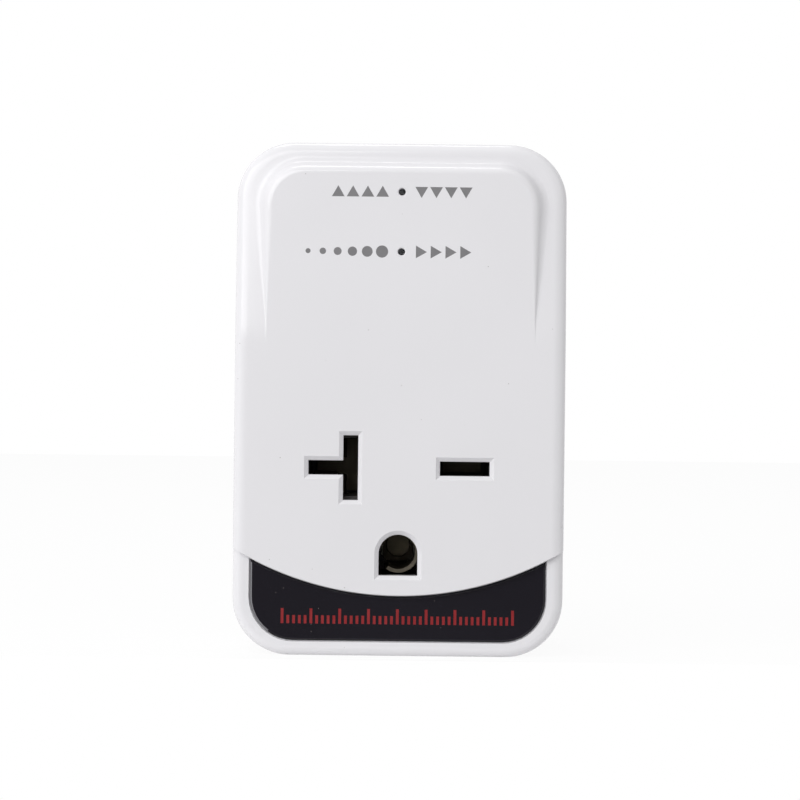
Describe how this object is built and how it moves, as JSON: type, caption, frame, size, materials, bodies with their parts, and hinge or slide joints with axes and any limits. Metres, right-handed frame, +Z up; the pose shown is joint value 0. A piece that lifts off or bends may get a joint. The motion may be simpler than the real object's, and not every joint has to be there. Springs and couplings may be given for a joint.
{
  "type": "appliance voltage protector",
  "caption": "Plug-in voltage protector with an upright white case, a T-slot outlet in front and a three-pin plug behind.",
  "frame": {"origin": "on the wall plate's back face, halfway between the two flat blades", "axes": "+Y towards the wall, along the blades; +Z up; +X to the right seen from the front"},
  "size_m": [0.046, 0.053, 0.0715],
  "materials": {
    "case_white": "glossy moulded ABS",
    "label_black": "high gloss black",
    "carrier_black": "matt moulded",
    "contact_brass": "bright sheet",
    "blade_brass": "satin",
    "clamp_ivory": "matt moulded",
    "board_green": "solder mask",
    "relay_black": "matt moulded",
    "relay_blue": "glossy moulded",
    "relay_steel": "zinc plated",
    "bobbin_ivory": "matt moulded",
    "coil_copper": "enamelled winding wire",
    "spring_bronze": "rolled sheet",
    "tin": "tinned",
    "varistor_blue": "dipped resin",
    "film_yellow": "moulded box",
    "sleeve_navy": "shrink sleeve",
    "chip_black": "moulded resin",
    "lamp_clear": "clear resin",
    "wire_red": "insulated wire",
    "wire_blue": "insulated wire",
    "screw_steel": "zinc plated"
  },
  "bodies": {
    "root": {"front_shell": "case_white", "rear_shell": "case_white", "label_plate": "label_black", "contact_carrier": "carrier_black", "carrier_cover": "carrier_black", "tee_contact": "contact_brass", "flat_contact": "contact_brass", "ground_contact": "contact_brass", "left_blade": "blade_brass", "right_blade": "blade_brass", "ground_pin": "blade_brass", "ground_strap": "contact_brass", "blade_clamp": "clamp_ivory", "circuit_board": "board_green", "relay_base": "relay_black", "relay_cover": "relay_blue", "relay_yoke": "relay_steel", "relay_core": "relay_steel", "relay_bobbin": "bobbin_ivory", "relay_coil": "coil_copper", "relay_fixed_contact": "spring_bronze", "relay_coil_pins": "tin", "varistor": "varistor_blue", "film_capacitor": "film_yellow", "filter_capacitor": "sleeve_navy", "timing_capacitor": "sleeve_navy", "controller_chip": "chip_black", "rectifier_diodes": "chip_black", "chip_resistors": "chip_black", "driver_transistor": "chip_black", "solder_joints": "tin", "upper_light": "lamp_clear", "lower_light": "lamp_clear", "wire_line_in": "wire_red", "wire_line_out": "wire_red", "wire_neutral": "wire_blue", "case_screws": "screw_steel", "board_screws": "screw_steel", "clamp_screws": "screw_steel", "carrier_screws": "screw_steel"},
    "armature": {"relay_armature": "relay_steel", "relay_leaf": "spring_bronze"}
  },
  "joints": [
    {"name": "armature_hinge", "type": "hinge", "parent": "root", "child": "armature", "pos_m": [-0.01125, -0.0197, 0.03425], "axis": [1, 0, 0], "range_deg": [0, 4], "stiffness_Nm_per_rad": 0.01, "springref_deg": -5.73}
  ]
}
